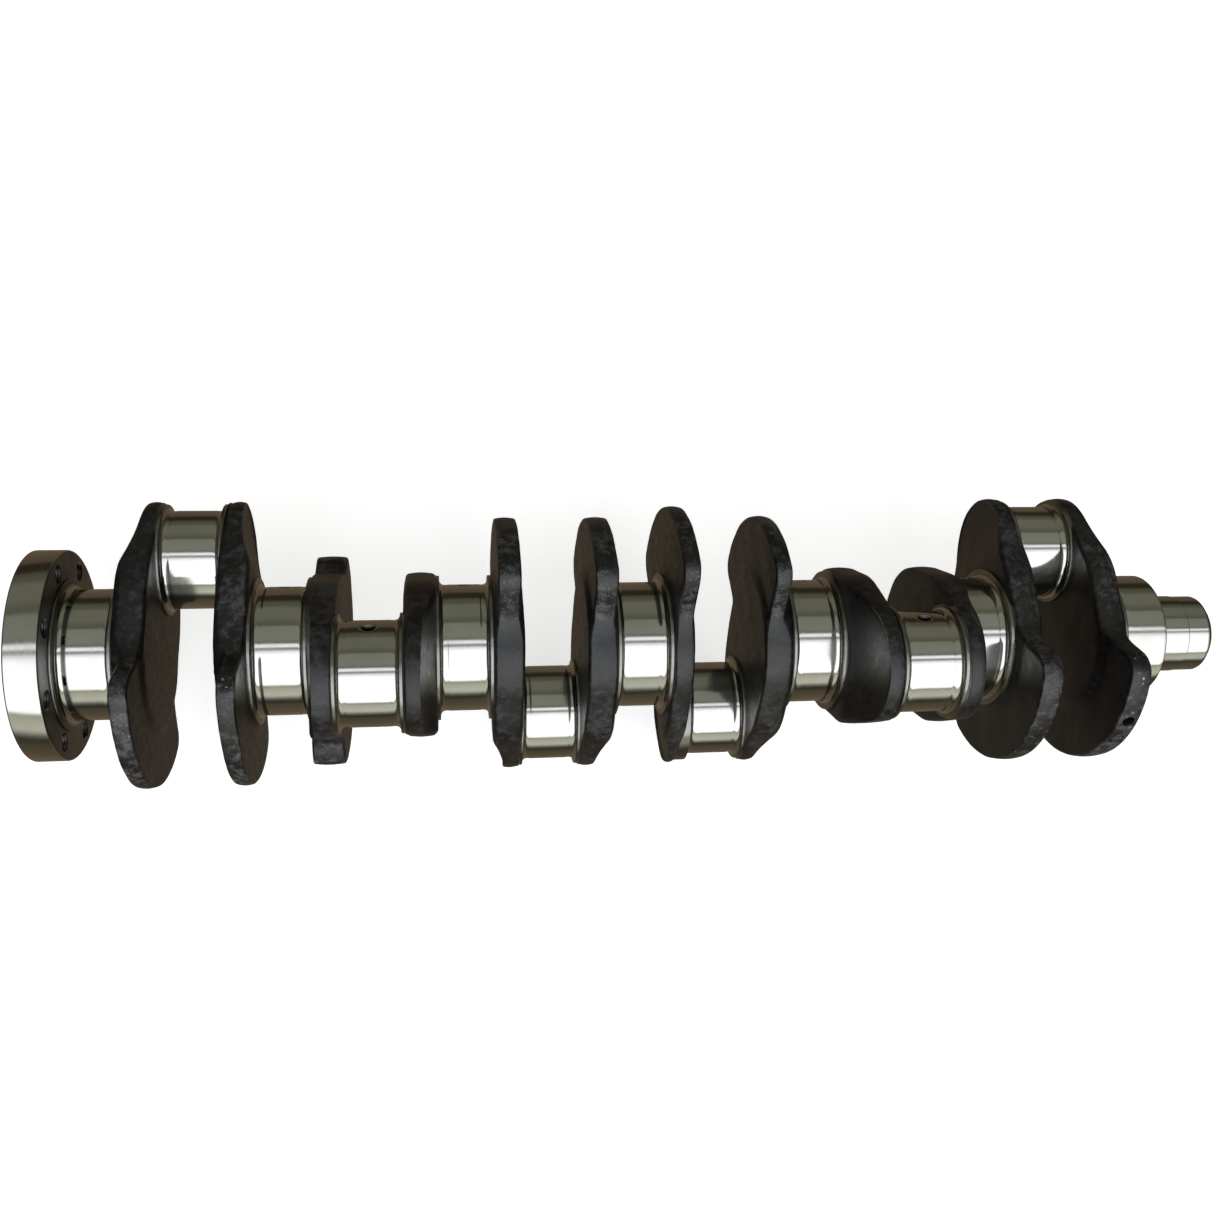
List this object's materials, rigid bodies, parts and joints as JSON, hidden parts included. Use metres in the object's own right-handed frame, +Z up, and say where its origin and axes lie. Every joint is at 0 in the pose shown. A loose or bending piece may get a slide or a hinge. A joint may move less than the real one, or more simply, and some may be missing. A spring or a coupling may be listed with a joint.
{
  "type": "crankshaft",
  "caption": "Forged engine crankshaft with ground main journals and crankpins, dark counterweighted webs, a drilled flywheel flange and a stepped nose.",
  "frame": {"origin": "centre of the flange's flywheel face, on the crank axis", "axes": "+X along the crank axis from the flywheel face to the nose, +Y towards crankpins 1 and 6, +Z up with the crank lying as pictured to within about 15 degrees of roll"},
  "size_m": [0.936, 0.221, 0.2199],
  "materials": {
    "forged_web": "as-forged, oiled near-black scale with a semi-gloss",
    "ground_journal": "ground and lapped bearing surface",
    "turned_flange": "turned and ground rim, dark satin inner face",
    "ground_nose": "fine-ground seat",
    "dowel_steel": "hardened ground dowel"
  },
  "bodies": {
    "root": {"rear_flange": "turned_flange", "oil_slinger": "turned_flange", "flywheel_dowel": "dowel_steel", "main_journal_1": "ground_journal", "main_journal_2": "ground_journal", "main_journal_3": "ground_journal", "main_journal_4": "ground_journal", "main_journal_5": "ground_journal", "main_journal_6": "ground_journal", "main_journal_7": "ground_journal", "crankpin_1": "ground_journal", "crankpin_2": "ground_journal", "crankpin_3": "ground_journal", "crankpin_4": "ground_journal", "crankpin_5": "ground_journal", "crankpin_6": "ground_journal", "web_1": "forged_web", "web_2": "forged_web", "web_3": "forged_web", "web_4": "forged_web", "web_5": "forged_web", "web_6": "forged_web", "web_7": "forged_web", "web_8": "forged_web", "web_9": "forged_web", "web_10": "forged_web", "web_11": "forged_web", "web_12": "forged_web", "timing_gear_seat": "ground_nose", "pulley_seat": "ground_nose", "timing_gear_dowel": "dowel_steel"}
  },
  "joints": []
}
